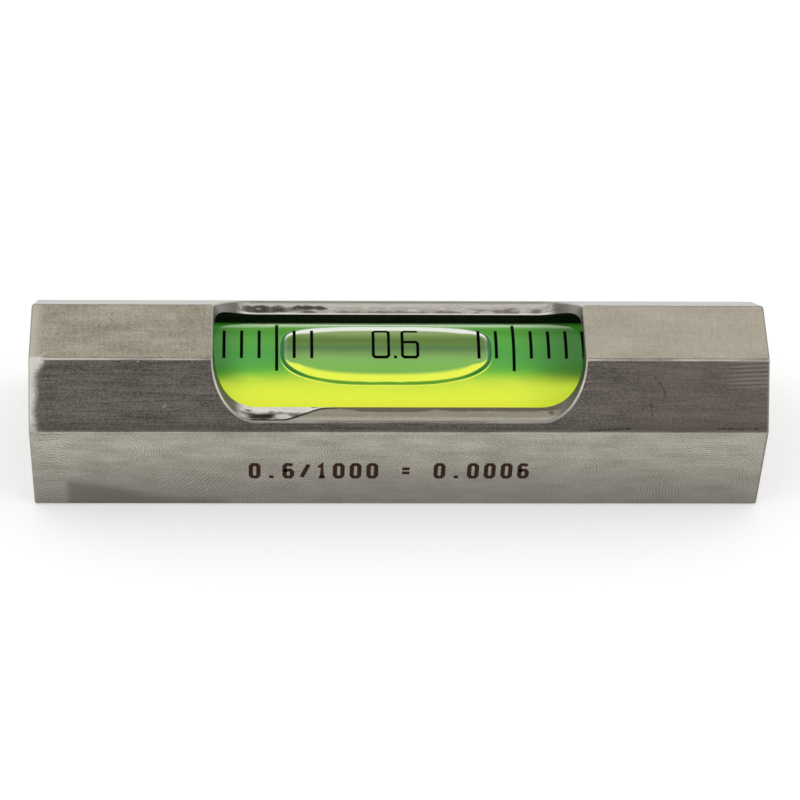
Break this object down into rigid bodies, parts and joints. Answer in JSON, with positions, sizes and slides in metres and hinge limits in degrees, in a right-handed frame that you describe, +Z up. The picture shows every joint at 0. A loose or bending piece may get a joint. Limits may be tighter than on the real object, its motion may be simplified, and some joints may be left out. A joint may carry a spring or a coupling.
{
  "type": "machinist's pocket level",
  "caption": "Small chamfered steel bar level with a flat base and a tubular spirit vial read through a window milled across its top.",
  "frame": {"origin": "centre of the flat base, on the surface the level stands on", "axes": "+X along the bar, +Y away from the reader, +Z up"},
  "size_m": [0.084, 0.02, 0.0192],
  "materials": {
    "steel": "milled and fine ground, lightly scratched",
    "clear_acrylic": "polished, clear",
    "green_liquid": "clear dyed liquid",
    "air": "clear",
    "black_paint": "matt",
    "resin": "cast, matt",
    "disc_steel": "turned"
  },
  "bodies": {
    "level": {"body": "steel", "vial_barrel": "clear_acrylic", "vial_plug": "clear_acrylic", "spirit": "green_liquid", "graduation_marks": "black_paint", "bedding_left": "resin", "bedding_right": "resin", "end_disc_left": "disc_steel", "end_disc_right": "disc_steel"},
    "bubble": {"bubble": "air"}
  },
  "joints": [
    {"name": "bubble_travel", "type": "slide", "parent": "level", "child": "bubble", "axis": [1, 0, 0], "range_m": [-0.0107, 0.0112], "deforming": ["spirit"]}
  ]
}
